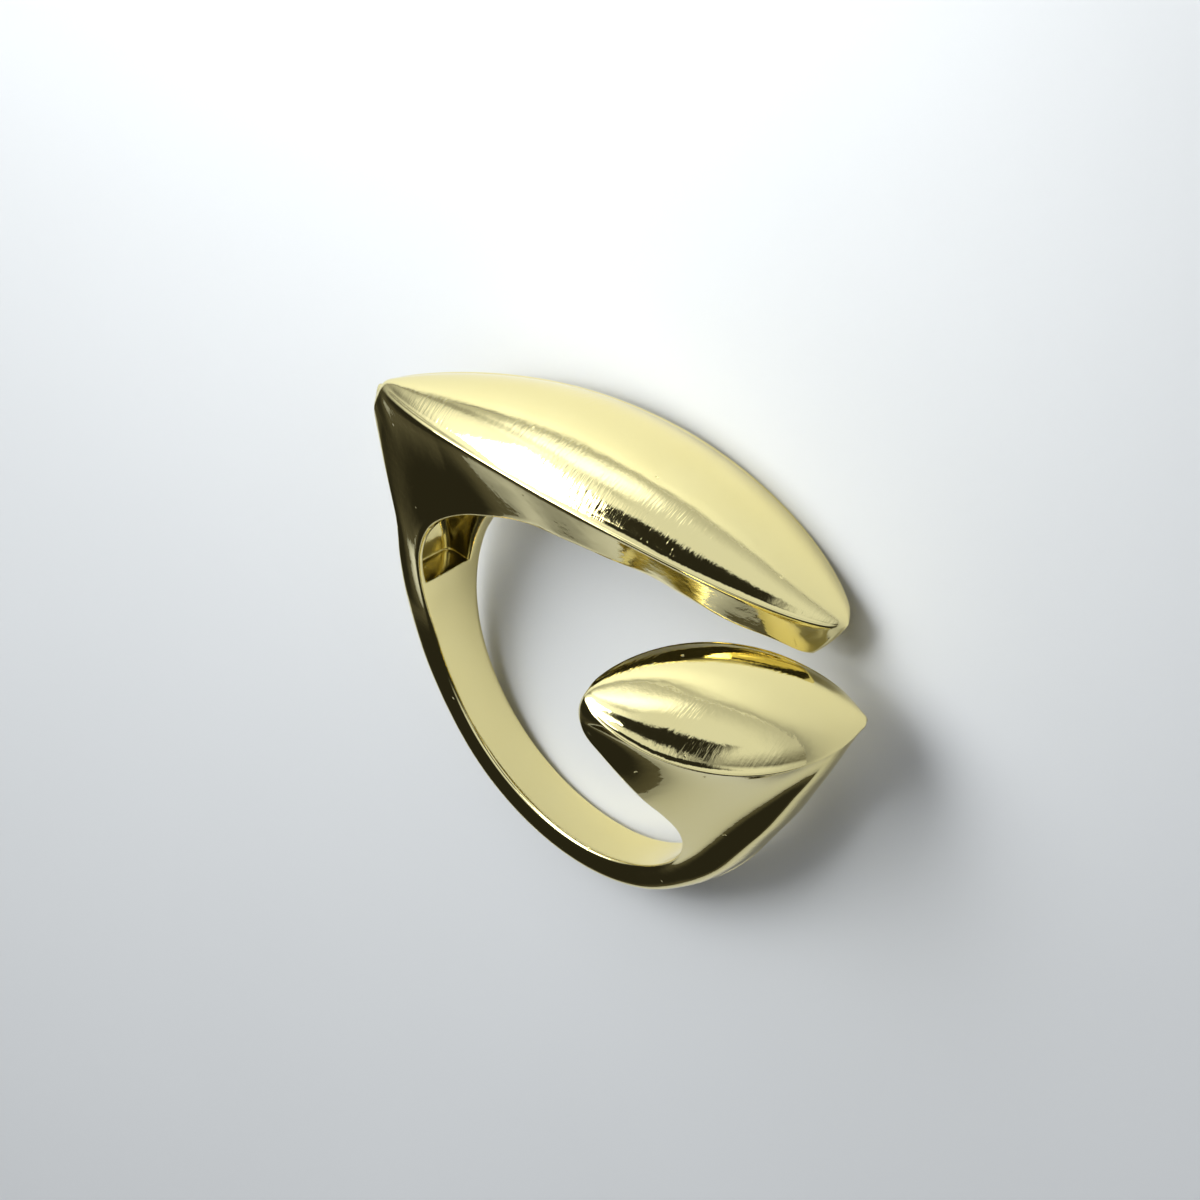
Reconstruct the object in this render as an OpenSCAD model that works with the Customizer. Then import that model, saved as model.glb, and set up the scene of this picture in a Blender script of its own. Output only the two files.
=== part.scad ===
// Adjustable ring: one cast open band whose two ends pass each other as domed leaf-shaped heads.
// Millimetres. The ring is drawn upright about its finger hole: X to the right, Y towards the heads and
// Z along the finger, near side positive. At the end it is laid on its far side, as it lies on a table.

/* [Finger hole] */
// radius of the finger hole, an inside diameter of 17.2
bore_radius = 8.6; // [7.4:0.1:11]
// how far the blank reaches inside the finger hole before the hole is cut
bore_skin = 0.1; // [0.05:0.05:0.3]
// angle where the long head's underside leaves the hole's curve and runs on straight
straight_from = 76; // [60:1:90]

/* [Long leaf head] */
// left tip of the long leaf, over the band's left side
long_left_tip = [-12.7, 10.18, 0.5]; // [-20:0.01:20]
// right tip of the long leaf, its free end
long_right_tip = [11.98, 8.02, -4.08]; // [-20:0.01:20]
// half of the leaf's greatest width
long_half_width = 3.6; // [2:0.05:6]
// fullness of the outline towards the left and right tips, smaller is blunter
long_fullness = [0.78, 0.65]; // [0.4:0.01:1.5]
// rise of the leaf's edge plane between the tips
long_rise = 2.5; // [0:0.05:4]
// tilt of the leaf's edge plane about its long axis, near side down
long_tilt = 5; // [-20:1:20]
// height of the dome over the edges
long_dome = 1.35; // [0.5:0.05:3]

/* [Short leaf head] */
// right tip of the short leaf, over the band's right side
short_right_tip = [15, 5.53, -2.15]; // [-20:0.01:20]
// left tip of the short leaf, its free end
short_left_tip = [6.36, 7.2, 6.75]; // [-20:0.01:20]
// half of the leaf's greatest width
short_half_width = 3.5; // [2:0.05:6]
// fullness of the outline towards the right and left tips
short_fullness = [0.71, 0.72]; // [0.4:0.01:1.5]
// rise of the leaf's edge plane between the tips
short_rise = 0.05; // [0:0.05:4]
// tilt of the leaf's edge plane about its long axis, near side down
short_tilt = 15; // [-20:1:30]
// height of the dome over the edges
short_dome = 1.35; // [0.5:0.05:3]

/* [Edges] */
// fullness of the domes across, 2 is round
dome_fullness = 2.5; // [1.5:0.1:4]
// softening of the long leaf's edges
long_edge = 0.18; // [0.05:0.01:0.6]
// softening of the short leaf's edges
short_edge = 0.16; // [0.05:0.01:0.6]
// extra softening at the outer tips of the long and the short leaf
tip_extra = [0.25, 0.08]; // [0:0.01:0.6]
// share of a leaf's length over which its wall still shows the rounded shoulder
shoulder_reach = 0.35; // [0.1:0.05:0.6]
// more softening down the wall at the same tips
tip_shoulder = [0.25, 0.1]; // [0:0.05:1]
// softening of the finger hole's two rims
rim_edge = 0.2; // [0.05:0.01:0.5]
// half width that a leaf keeps at its very tip
tip_half_width = 0.38; // [0.1:0.01:0.6]
// length over which the width closes to a rounded end at a free tip
end_reach = 0.6; // [0.2:0.05:1.5]
// share of the width that the flat left at a free tip keeps
end_flat = 0.2; // [0.1:0.05:1]

/* [Hollow under the long head] */
// wall left between the hollow and the dome's edge plane, before the dome is added
hollow_roof = 0.4; // [0.2:0.05:1.5]
// softening of the hollow's inner corners
hollow_edge = 0.45; // [0.1:0.05:1]
// how far the cutting solid runs out of the underside
hollow_overrun = 0.6; // [0.2:0.1:2]

/* [Smoothness] */
// sections along the long head
long_steps = 38; // [16:1:80]
// sections along the band between the heads
band_steps = 52; // [20:1:120]
// sections along the short head
short_steps = 30; // [16:1:80]
// points in each softened corner
corner_points = 4; // [3:1:8]
// points across a dome between its softened edges
dome_points = 9; // [3:1:21]
// points up a side wall between its softened edges
wall_points = 3; // [1:1:8]
// rounds of drawing the walls at the shoulders taut, at the left and at the right
taut_rounds = [20, 150]; // [0:10:400]
// sections along the hollow
hollow_steps = 22; // [8:1:60]

/* [Lying on a table] */
// turn about X and then about Y that brings the far side's resting points level
lay_turn = [12.303, -2.169]; // [-90:0.001:90]
// move that puts the resting points at height 0 and the middle of the outline on the origin
lay_move = [-1.197, -1.677, 3.243]; // [-20:0.001:20]

/* [Hidden] */
$fn = 180;
gold = [0.86, 0.80, 0.50];

// Finger side of every section: angle about the hole (0 is +X, 90 is +Y), radius of the near and far
// rims before the hole is cut, and their heights along the finger.
RIM_ANGLE = 0;
RIM_NEAR_RADIUS = 1;
RIM_FAR_RADIUS = 2;
RIM_NEAR = 3;
RIM_FAR = 4;
rim_rows = [
    [ 31, 8.70, 8.70, -2.62, -3.20],
    [ 36, 8.70, 8.70, -2.10, -3.95],
    [ 42, 8.68, 8.65, -1.42, -4.50],
    [ 55, 8.66, 8.65, -0.70, -4.90],
    [ 66, 8.62, 8.60, -0.26, -4.95],
    [ 80, 8.60, 8.60,  0.66, -4.90],
    [ 92, 8.60, 8.60,  1.12, -4.60],
    [111, 8.62, 8.60,  1.18, -3.90],
    [124, 8.85, 8.60,  1.32, -3.20],
    [132, 9.30, 8.60,  1.72, -2.70],
    [140, 9.60, 8.60,  2.08, -2.20],
    [149, 9.60, 8.60,  2.16, -1.78],
    [157, 9.35, 8.60,  2.18, -1.68],
    [165, 9.00, 8.60,  2.08, -1.66],
    [175, 8.68, 8.60,  1.82, -1.61],
    [188, 8.60, 8.60,  1.42, -1.50],
    [204, 8.60, 8.60,  1.21, -1.38],
    [230, 8.60, 8.60,  1.17, -1.25],
    [270, 8.60, 8.60,  1.17, -1.20],
    [300, 8.60, 8.60,  1.22, -1.14],
    [318, 8.60, 8.60,  1.42, -1.15],
    [335, 8.60, 8.60,  2.08, -1.25],
    [350, 8.60, 8.60,  3.13, -1.35],
    [361, 8.60, 8.60,  4.22, -1.30],
    [371, 8.60, 8.60,  5.28, -0.95],
    [381, 8.60, 8.60,  6.09, -0.05],
    [391, 8.60, 8.60,  6.70,  1.90],
    [399, 8.60, 8.60,  7.02,  4.10],
    [405, 8.60, 8.60,  6.90,  6.10]
];

// Outer side of the band and of the two shoulders that grow out to the leaves' outer tips: finger-side
// angle, outer angle and radius, near and far heights, swell of the outer face, softening of its edges
// across the face and down the walls.
OUT_ANGLE = 0;
OUT_TURN = 1;
OUT_RADIUS = 2;
OUT_NEAR = 3;
OUT_FAR = 4;
OUT_SWELL = 5;
OUT_EDGE = 6;
OUT_WALL_EDGE = 7;
out_rows = [
    [  160, 140.7, 16.24,  0.95,  0.05, 0.00, 0.42, 0.68],
    [  163, 147.8, 14.10,  1.35, -0.35, 0.10, 0.75, 0.85],
    [  168, 155.0, 12.00,  1.70, -0.90, 0.20, 1.10, 0.90],
    [  174, 163.8, 10.95,  1.90, -1.30, 0.20, 1.20, 0.75],
    [  180, 173.0, 10.45,  1.82, -1.48, 0.15, 1.10, 0.60],
    [  190, 187.0, 10.15,  1.50, -1.46, 0.12, 0.85, 0.45],
    [  205, 204.0, 10.03,  1.25, -1.36, 0.12, 0.65, 0.40],
    [  240, 240.0,  9.98,  1.20, -1.22, 0.12, 0.60, 0.40],
    [  275, 275.0,  9.95,  1.20, -1.19, 0.12, 0.60, 0.40],
    [  298, 298.0, 10.00,  1.20, -1.14, 0.12, 0.65, 0.45],
    [  314, 317.0, 10.15,  1.22, -1.25, 0.12, 0.95, 0.60],
    [  325, 335.0, 10.68,  1.15, -1.60, 0.10, 1.20, 0.75],
    [  335, 351.5, 11.55,  0.65, -2.00, 0.06, 1.15, 0.85],
    [  342, 366.0, 13.00, -0.50, -2.30, 0.03, 0.80, 0.85],
    [  346, 375.0, 14.50, -1.38, -2.45, 0.00, 0.45, 0.60],
    [348.5, 380.5, 15.95, -1.85, -2.50, 0.00, 0.25, 0.35]
];

// Finger-side angle under each place along a leaf: share of the leaf's length from its outer tip, angle.
SHARE = 0;
SHARE_ANGLE = 1;
long_rows = [[0, 160], [0.08, 147], [0.25, 124], [0.5, 88], [0.75, 55], [0.92, 36.4], [1, 30]];
short_rows = [[0, 348.5], [0.08, 358], [0.25, 370], [0.5, 384], [0.75, 395], [0.92, 402.9], [1, 405.8]];

// Where the band's sections stand: share of their number, finger-side angle. They crowd at the shoulders.
PLACE = 0;
PLACE_ANGLE = 1;
place_rows = [[0, 160], [0.25, 174], [0.65, 312], [0.85, 338], [1, 348.5]];

// Walls drawn taut at the shoulders: finger-side angles from and to.
TAUT_FROM = 0;
TAUT_TO = 1;
taut_rows = [[132, 184], [310, 403]];

// Hollow under the long head: finger-side angle, share of the height that is hollowed, near and far walls,
// and how far its back is moved along X and Y from that share.
HOLLOW_ANGLE = 0;
HOLLOW_SHARE = 1;
HOLLOW_NEAR = 2;
HOLLOW_FAR = 3;
HOLLOW_X = 4;
HOLLOW_Y = 5;
hollow_rows = [
    [   48, -0.10, 1.20, 1.20,  0.00,  0.00],
    [   54,  0.45, 0.95, 1.00,  0.00,  0.00],
    [   62,  0.80, 0.85, 0.90,  0.00,  0.00],
    [   75,  1.00, 0.80, 0.90,  0.00,  0.00],
    [   95,  1.00, 0.75, 0.90,  0.00,  0.00],
    [  118,  1.00, 0.70, 0.90,  0.00,  0.00],
    [  138,  0.97, 0.60, 0.90, -0.10,  0.00],
    [  150,  0.58, 0.42, 0.80, -0.30, -0.05],
    [  159,  0.34, 0.36, 0.72, -0.50, -0.10],
    [  165,  0.23, 0.36, 0.72, -0.80, -0.20],
    [169.2,  0.10, 0.40, 0.75, -1.10, -0.30]
];

// Leaf sizes in one list each: outer tip, free tip, half width, fullness, rise, tilt, dome, softening of
// the edge, extra softening at the outer tip and more down the wall there.
LEAF_START = 0;
LEAF_END = 1;
LEAF_HALF = 2;
LEAF_FULL = 3;
LEAF_RISE = 4;
LEAF_TILT = 5;
LEAF_DOME = 6;
LEAF_EDGE = 7;
LEAF_TIP_EXTRA = 8;
LEAF_TIP_SHOULDER = 9;
long_leaf = [long_left_tip, long_right_tip, long_half_width, long_fullness, long_rise, long_tilt, long_dome,
    long_edge, tip_extra[0], tip_shoulder[0]];
short_leaf = [short_right_tip, short_left_tip, short_half_width, short_fullness, short_rise, short_tilt,
    short_dome, short_edge, tip_extra[1], tip_shoulder[1]];

// Columns of a section: finger side near and far, outer side near and far, up from the outer side,
// height of the swell, softening of the outer edges across the top and down the walls, finger-side angle.
S_IN_NEAR = 0;
S_IN_FAR = 1;
S_OUT_NEAR = 2;
S_OUT_FAR = 3;
S_UP = 4;
S_SWELL = 5;
S_EDGE = 6;
S_WALL_EDGE = 7;
S_ANGLE = 8;

// Smooth curve through a column of a table: each span joins the mean slopes at its two rows.
function unit(v) = v / norm(v);
function span_slope(rows, x, y, i) = (rows[i + 1][y] - rows[i][y]) / (rows[i + 1][x] - rows[i][x]);
function row_slope(rows, x, y, i) =
    i == 0 ? span_slope(rows, x, y, 0)
    : i == len(rows) - 1 ? span_slope(rows, x, y, i - 1)
    : (span_slope(rows, x, y, i - 1) * (rows[i + 1][x] - rows[i][x])
        + span_slope(rows, x, y, i) * (rows[i][x] - rows[i - 1][x])) / (rows[i + 1][x] - rows[i - 1][x]);
function row_before(rows, x, q, i = 0) =
    i >= len(rows) - 2 || q < rows[i + 1][x] ? i : row_before(rows, x, q, i + 1);
function span_curve(y0, y1, m0, m1, t) =
    y0 * (1 + 2 * t) * pow(1 - t, 2) + m0 * t * pow(1 - t, 2)
    + y1 * t * t * (3 - 2 * t) + m1 * t * t * (t - 1);
function curve_at(rows, x, y, q, i) =
    let(h = rows[i + 1][x] - rows[i][x])
    span_curve(rows[i][y], rows[i + 1][y], h * row_slope(rows, x, y, i), h * row_slope(rows, x, y, i + 1),
        (q - rows[i][x]) / h);
function curve(rows, x, y, q) = curve_at(rows, x, y, q, row_before(rows, x, q));

// Finger side of a section at an angle, near (side 0) or far (side 1).
function straightened(r, a) = a < straight_from ? r / cos(straight_from - a) : r;
function rim_radius(a, side) =
    let(r = max(bore_radius, curve(rim_rows, RIM_ANGLE, side == 0 ? RIM_NEAR_RADIUS : RIM_FAR_RADIUS, a)))
    straightened(r - bore_skin * max(0, 1 - (r - bore_radius) / 0.3), a);
function rim_point(a, side, keep = 1) =
    let(
        r = rim_radius(a, side),
        heights = [for (column = [RIM_NEAR, RIM_FAR]) curve(rim_rows, RIM_ANGLE, column, a)],
        middle_height = (heights[0] + heights[1]) / 2
    )
    [r * cos(a), r * sin(a), middle_height + keep * (heights[side] - middle_height)];

// Leaf: its two edges stand off a risen middle line by a half width that closes at both tips.
function leaf_axis(leaf) = unit(leaf[LEAF_END] - leaf[LEAF_START]);
function leaf_flat_side(leaf) =
    let(c = unit(cross(leaf_axis(leaf), [0, 1, 0])))
    c[2] < 0 ? -c : c;
function leaf_flat_up(leaf) =
    let(u = cross(leaf_flat_side(leaf), leaf_axis(leaf)))
    u[1] < 0 ? -u : u;
function leaf_side(leaf) =
    cos(leaf[LEAF_TILT]) * leaf_flat_side(leaf) - sin(leaf[LEAF_TILT]) * leaf_flat_up(leaf);
function leaf_up(leaf) =
    cos(leaf[LEAF_TILT]) * leaf_flat_up(leaf) + sin(leaf[LEAF_TILT]) * leaf_flat_side(leaf);
function closing(full, s) = pow(max(s, 0), full[0]) * pow(max(1 - s, 0), full[1]);
function leaf_width(leaf, s) =
    let(full = leaf[LEAF_FULL], widest = full[0] / (full[0] + full[1]))
    closing(full, s) / closing(full, widest);
function leaf_middle(leaf, s) =
    leaf[LEAF_START] + s * (leaf[LEAF_END] - leaf[LEAF_START])
    + 4 * s * (1 - s) * leaf[LEAF_RISE] * leaf_up(leaf);
function leaf_edge_point(leaf, s, way) =
    leaf_middle(leaf, s)
    + way * end_share(leaf, s) * max(tip_half_width, leaf[LEAF_HALF] * leaf_width(leaf, s)) * leaf_side(leaf);
// Share of its width that a section keeps near the free tip: a quarter circle down to the flat.
function end_share(leaf, s) =
    let(to_go = (1 - s) * norm(leaf[LEAF_END] - leaf[LEAF_START]) / end_reach)
    max(end_flat, sqrt(max(0, 1 - pow(max(0, 1 - to_go), 2))));

// Sections: under a leaf at a share of its length, and along the band and shoulders at an angle.
function leaf_section(leaf, rows, s) =
    let(
        a = curve(rows, SHARE, SHARE_ANGLE, s),
        keep = end_share(leaf, s),
        shoulder = max(0, 1 - s / shoulder_reach),
        edge = leaf[LEAF_EDGE] + leaf[LEAF_TIP_EXTRA] * shoulder
    )
    [rim_point(a, 0, keep), rim_point(a, 1, keep), leaf_edge_point(leaf, s, 1), leaf_edge_point(leaf, s, -1),
        leaf_up(leaf), leaf[LEAF_DOME] * pow(leaf_width(leaf, s), 1.3), edge,
        edge + leaf[LEAF_TIP_SHOULDER] * pow(shoulder, 4), a];
function band_section(a) =
    let(turn = curve(out_rows, OUT_ANGLE, OUT_TURN, a), r = curve(out_rows, OUT_ANGLE, OUT_RADIUS, a))
    [rim_point(a, 0), rim_point(a, 1),
        [r * cos(turn), r * sin(turn), curve(out_rows, OUT_ANGLE, OUT_NEAR, a)],
        [r * cos(turn), r * sin(turn), curve(out_rows, OUT_ANGLE, OUT_FAR, a)],
        [cos(turn), sin(turn), 0], curve(out_rows, OUT_ANGLE, OUT_SWELL, a),
        curve(out_rows, OUT_ANGLE, OUT_EDGE, a), curve(out_rows, OUT_ANGLE, OUT_WALL_EDGE, a), a];
// Steps that crowd towards both ends of a leaf.
function eased(k, n) = (1 - cos(180 * k / (n - 1))) / 2;
band_start = rows_first(out_rows, OUT_ANGLE);
function rows_first(rows, x) = rows[0][x];
function rows_last(rows, x) = rows[len(rows) - 1][x];
blank_sections = concat(
    [for (k = [0 : long_steps - 1])
        leaf_section(long_leaf, long_rows, 1 - eased(k, long_steps))],
    [for (k = [1 : band_steps]) band_section(curve(place_rows, PLACE, PLACE_ANGLE, k / (band_steps + 1)))],
    [for (k = [0 : short_steps - 1])
        leaf_section(short_leaf, short_rows, eased(k, short_steps))]
);

// Outline of a section: four softened corners joined by the finger side, two straight walls and a domed
// top. A softened corner starts a distance before the corner and ends a distance after it, neither more
// than a share of its side.
function corner(before, at, after, soft, most) =
    let(
        back = before - at,
        on = after - at,
        p = at + unit(back) * min(soft[0], most[0] * norm(back)),
        q = at + unit(on) * min(soft[1], most[1] * norm(on))
    )
    [for (k = [0 : corner_points - 1])
        let(t = k / (corner_points - 1))
        pow(1 - t, 2) * p + 2 * t * (1 - t) * at + t * t * q];
function between(p, q, n, up = [0, 0, 0], swell = 0) =
    [for (k = [1 : n])
        let(t = k / (n + 1))
        p + t * (q - p) + (1 - pow(abs(2 * t - 1), dome_fullness)) * swell * up];
function last(list) = list[len(list) - 1];
function outline(s, inner_soft) =
    let(
        inner = [inner_soft, inner_soft],
        half = [0.45, 0.45],
        out_near_soft = [s[S_WALL_EDGE], s[S_EDGE]],
        out_far_soft = [s[S_EDGE], s[S_WALL_EDGE]],
        in_near = corner(s[S_IN_FAR], s[S_IN_NEAR], s[S_OUT_NEAR], inner, half),
        out_near = corner(s[S_IN_NEAR], s[S_OUT_NEAR], s[S_OUT_FAR], out_near_soft, [0.8, 0.49]),
        out_far = corner(s[S_OUT_NEAR], s[S_OUT_FAR], s[S_IN_FAR], out_far_soft, [0.49, 0.8]),
        in_far = corner(s[S_OUT_FAR], s[S_IN_FAR], s[S_IN_NEAR], inner, half)
    )
    concat(
        in_near, between(last(in_near), out_near[0], wall_points),
        out_near, between(last(out_near), out_far[0], dome_points, s[S_UP], s[S_SWELL]),
        out_far, between(last(out_far), in_far[0], wall_points),
        in_far
    );

// Walls drawn taut over a run of outlines: time and again, each wall point becomes the mean of its four
// neighbours, of which the two along the sweep have most of the weight.
along_weight = 0.97;
far_wall = 3 * corner_points + wall_points + dome_points;
function on_wall(j) =
    (j >= corner_points && j < corner_points + wall_points) || (j >= far_wall && j < far_wall + wall_points);
function taut(outlines, first, final, rounds) =
    rounds == 0 ? outlines
    : taut([for (i = [0 : len(outlines) - 1])
        i < first || i > final ? outlines[i]
        : [for (j = [0 : len(outlines[i]) - 1])
            on_wall(j)
            ? along_weight * (outlines[i - 1][j] + outlines[i + 1][j]) / 2
                + (1 - along_weight) * (outlines[i][j - 1] + outlines[i][j + 1]) / 2
            : outlines[i][j]]], first, final, rounds - 1);
function taut_at(outlines, k) =
    let(inside = [for (i = [0 : len(blank_sections) - 1])
        let(a = blank_sections[i][S_ANGLE])
        if (a > taut_rows[k][TAUT_FROM] && a < taut_rows[k][TAUT_TO]) i])
    taut(outlines, inside[0], last(inside), taut_rounds[k]);
blank_outlines = taut_at(taut_at([for (s = blank_sections) outline(s, rim_edge)], 0), 1);

// Solid through a list of outlines, each end closed by a fan about the outline's middle.
function middle(points) = [for (p = points) 1] * points / len(points);
module swept(outlines) {
    n = len(outlines[0]);
    m = len(outlines);
    body = [for (o = outlines) each o];
    points = concat(body, [middle(outlines[0]), middle(outlines[m - 1])]);
    skin = [for (i = [0 : m - 2], j = [0 : n - 1])
        let(a = i * n + j, b = i * n + (j + 1) % n)
        each [[a, a + n, b + n], [a, b + n, b]]];
    first_end = [for (j = [0 : n - 1]) [j, (j + 1) % n, m * n]];
    last_end = [for (j = [0 : n - 1]) [(m - 1) * n + (j + 1) % n, (m - 1) * n + j, m * n + 1]];
    polyhedron(points = points, faces = concat(skin, first_end, last_end), convexity = 10);
}

// Hollow: the long head's own sections drawn in by the walls, run out of the underside.
function share_at(a, s = 0, step = 0.5) =
    step < 0.0001 ? s
    : curve(long_rows, SHARE, SHARE_ANGLE, s + step) > a ? share_at(a, s + step, step / 2)
    : share_at(a, s, step / 2);
function host_section(a) =
    a > band_start ? band_section(a)
    : leaf_section(long_leaf, long_rows, share_at(a));
function drawn_in(p, q, wall) = p + unit(q - p) * min(wall, 0.42 * norm(q - p));
function hollow_section(a) =
    let(
        s = host_section(a),
        near = curve(hollow_rows, HOLLOW_ANGLE, HOLLOW_NEAR, a),
        far = curve(hollow_rows, HOLLOW_ANGLE, HOLLOW_FAR, a),
        in_near = drawn_in(s[S_IN_NEAR], s[S_IN_FAR], near),
        in_far = drawn_in(s[S_IN_FAR], s[S_IN_NEAR], far),
        out_near = drawn_in(s[S_OUT_NEAR], s[S_OUT_FAR], near + 0.1),
        out_far = drawn_in(s[S_OUT_FAR], s[S_OUT_NEAR], far + 0.1),
        height = norm(out_near + out_far - in_near - in_far) / 2,
        way = unit(out_near + out_far - in_near - in_far),
        depth = curve(hollow_rows, HOLLOW_ANGLE, HOLLOW_SHARE, a) * (height - hollow_roof),
        run = (depth + hollow_overrun) / (height + hollow_overrun),
        low_near = in_near - hollow_overrun * way,
        low_far = in_far - hollow_overrun * way,
        moved = [curve(hollow_rows, HOLLOW_ANGLE, HOLLOW_X, a), curve(hollow_rows, HOLLOW_ANGLE, HOLLOW_Y, a), 0]
    )
    [low_near, low_far, low_near + run * (out_near - low_near) + moved,
        low_far + run * (out_far - low_far) + moved, s[S_UP],
        0.6 * s[S_SWELL] * max(0, min(1, depth / height)), hollow_edge, hollow_edge, a];
hollow_start = rows_first(hollow_rows, HOLLOW_ANGLE);
hollow_end = rows_last(hollow_rows, HOLLOW_ANGLE);
module hollow() {
    swept([for (k = [0 : hollow_steps - 1])
        outline(hollow_section(hollow_start + (hollow_end - hollow_start) * k / (hollow_steps - 1)), 0.05)]);
}

module upright_ring() {
    difference() {
        swept(blank_outlines);
        translate([0, 0, -12]) cylinder(r = bore_radius, h = 24);
        hollow();
    }
}

module ring() {
    color(gold) translate(lay_move) rotate([0, lay_turn[1], 0]) rotate([lay_turn[0], 0, 0]) upright_ring();
}

ring();
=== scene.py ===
"""Adjustable ring: an open band whose ends pass each other as a long and a short leaf-shaped head.

The ring is worked out upright about its finger hole, in millimetres: X to the right, Y towards the heads,
Z along the finger. It is then laid on its far side, as the part's own model lies, and put into metres.
"""

import math

import bpy
import numpy as np
from bpy.props import FloatProperty, FloatVectorProperty, PointerProperty
from mathutils import Matrix, Vector


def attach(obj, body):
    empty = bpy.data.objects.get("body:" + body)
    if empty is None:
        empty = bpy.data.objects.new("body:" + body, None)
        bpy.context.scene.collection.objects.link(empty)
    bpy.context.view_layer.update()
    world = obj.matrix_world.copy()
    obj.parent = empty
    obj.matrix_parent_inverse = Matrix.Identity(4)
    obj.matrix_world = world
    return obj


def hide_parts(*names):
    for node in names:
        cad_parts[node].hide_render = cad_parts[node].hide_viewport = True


bl_info = {
    "name": "Adjustable ring with leaf heads",
    "version": (1, 0, 0),
    "blender": (4, 5, 0),
    "location": "3D View > Sidebar > Ring",
    "description": "Builds a polished open ring with two domed leaf heads, and a plain studio for it",
    "category": "Add Mesh",
}

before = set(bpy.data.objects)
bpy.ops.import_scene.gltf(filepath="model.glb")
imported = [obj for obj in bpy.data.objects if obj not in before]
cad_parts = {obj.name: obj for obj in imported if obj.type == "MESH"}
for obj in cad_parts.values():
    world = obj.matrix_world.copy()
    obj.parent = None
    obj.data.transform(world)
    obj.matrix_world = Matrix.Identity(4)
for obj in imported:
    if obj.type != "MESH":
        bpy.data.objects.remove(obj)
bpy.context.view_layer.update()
MM = 0.001

# Lying on a table: turns in degrees about X and then Y, and the move that follows, in millimetres.
LAY_TURN = (12.303, -2.169)
LAY_MOVE = (-1.197, -1.677, 3.243)

# Finger side of every section: angle about the hole (0 is +X, 90 is +Y), radius of the near and far rims,
# and their heights along the finger.
RIM_ANGLE, RIM_NEAR_RADIUS, RIM_FAR_RADIUS, RIM_NEAR, RIM_FAR = range(5)
RIM_ROWS = np.array([
    [31, 8.70, 8.70, -2.62, -3.20],
    [36, 8.70, 8.70, -2.10, -3.95],
    [42, 8.68, 8.65, -1.42, -4.50],
    [55, 8.66, 8.65, -0.70, -4.90],
    [66, 8.62, 8.60, -0.26, -4.95],
    [80, 8.60, 8.60, 0.66, -4.90],
    [92, 8.60, 8.60, 1.12, -4.60],
    [111, 8.62, 8.60, 1.18, -3.90],
    [124, 8.85, 8.60, 1.32, -3.20],
    [132, 9.30, 8.60, 1.72, -2.70],
    [140, 9.60, 8.60, 2.08, -2.20],
    [149, 9.60, 8.60, 2.16, -1.78],
    [157, 9.35, 8.60, 2.18, -1.68],
    [165, 9.00, 8.60, 2.08, -1.66],
    [175, 8.68, 8.60, 1.82, -1.61],
    [188, 8.60, 8.60, 1.42, -1.50],
    [204, 8.60, 8.60, 1.21, -1.38],
    [230, 8.60, 8.60, 1.17, -1.25],
    [270, 8.60, 8.60, 1.17, -1.20],
    [300, 8.60, 8.60, 1.22, -1.14],
    [318, 8.60, 8.60, 1.42, -1.15],
    [335, 8.60, 8.60, 2.08, -1.25],
    [350, 8.60, 8.60, 3.13, -1.35],
    [361, 8.60, 8.60, 4.22, -1.30],
    [371, 8.60, 8.60, 5.28, -0.95],
    [381, 8.60, 8.60, 6.09, -0.05],
    [391, 8.60, 8.60, 6.70, 1.90],
    [399, 8.60, 8.60, 7.02, 4.10],
    [405, 8.60, 8.60, 6.90, 6.10],
])

# Outer side of the band and shoulders: finger-side angle, outer angle and radius, near and far heights,
# swell of the face, softening of its edges across the face and down the walls.
OUT_ANGLE, OUT_TURN, OUT_RADIUS, OUT_NEAR, OUT_FAR, OUT_SWELL, OUT_EDGE, OUT_WALL_EDGE = range(8)
OUT_ROWS = np.array([
    [160, 141.2, 16.48, 1.00, 0.10, 0.00, 0.42, 0.68],
    [163, 147.8, 14.10, 1.35, -0.35, 0.10, 0.75, 0.85],
    [168, 155.0, 12.00, 1.70, -0.90, 0.20, 1.10, 0.90],
    [174, 163.8, 10.95, 1.90, -1.30, 0.20, 1.20, 0.75],
    [180, 173.0, 10.45, 1.82, -1.48, 0.15, 1.10, 0.60],
    [190, 187.0, 10.15, 1.50, -1.46, 0.12, 0.85, 0.45],
    [205, 204.0, 10.03, 1.25, -1.36, 0.12, 0.65, 0.40],
    [240, 240.0, 9.98, 1.20, -1.22, 0.12, 0.60, 0.40],
    [275, 275.0, 9.95, 1.20, -1.19, 0.12, 0.60, 0.40],
    [298, 298.0, 10.00, 1.20, -1.14, 0.12, 0.65, 0.45],
    [314, 317.0, 10.15, 1.22, -1.25, 0.12, 0.95, 0.60],
    [325, 335.0, 10.68, 1.15, -1.60, 0.10, 1.20, 0.75],
    [335, 351.5, 11.55, 0.65, -2.00, 0.06, 1.15, 0.85],
    [342, 366.0, 13.00, -0.50, -2.30, 0.03, 0.80, 0.85],
    [346, 375.0, 14.50, -1.38, -2.45, 0.00, 0.45, 0.60],
    [348.5, 380.6, 15.77, -1.85, -2.50, 0.00, 0.25, 0.35],
])

# Finger-side angle under each share of a leaf's length from its outer tip.
SHARE, SHARE_ANGLE = range(2)
LONG_ROWS = np.array([[0, 160], [0.08, 147], [0.25, 124], [0.5, 88], [0.75, 55], [0.92, 36.4], [1, 30]])
SHORT_ROWS = np.array([[0, 348.5], [0.08, 358], [0.25, 370], [0.5, 384], [0.75, 395], [0.92, 402.9],
    [1, 405.8]])

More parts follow.
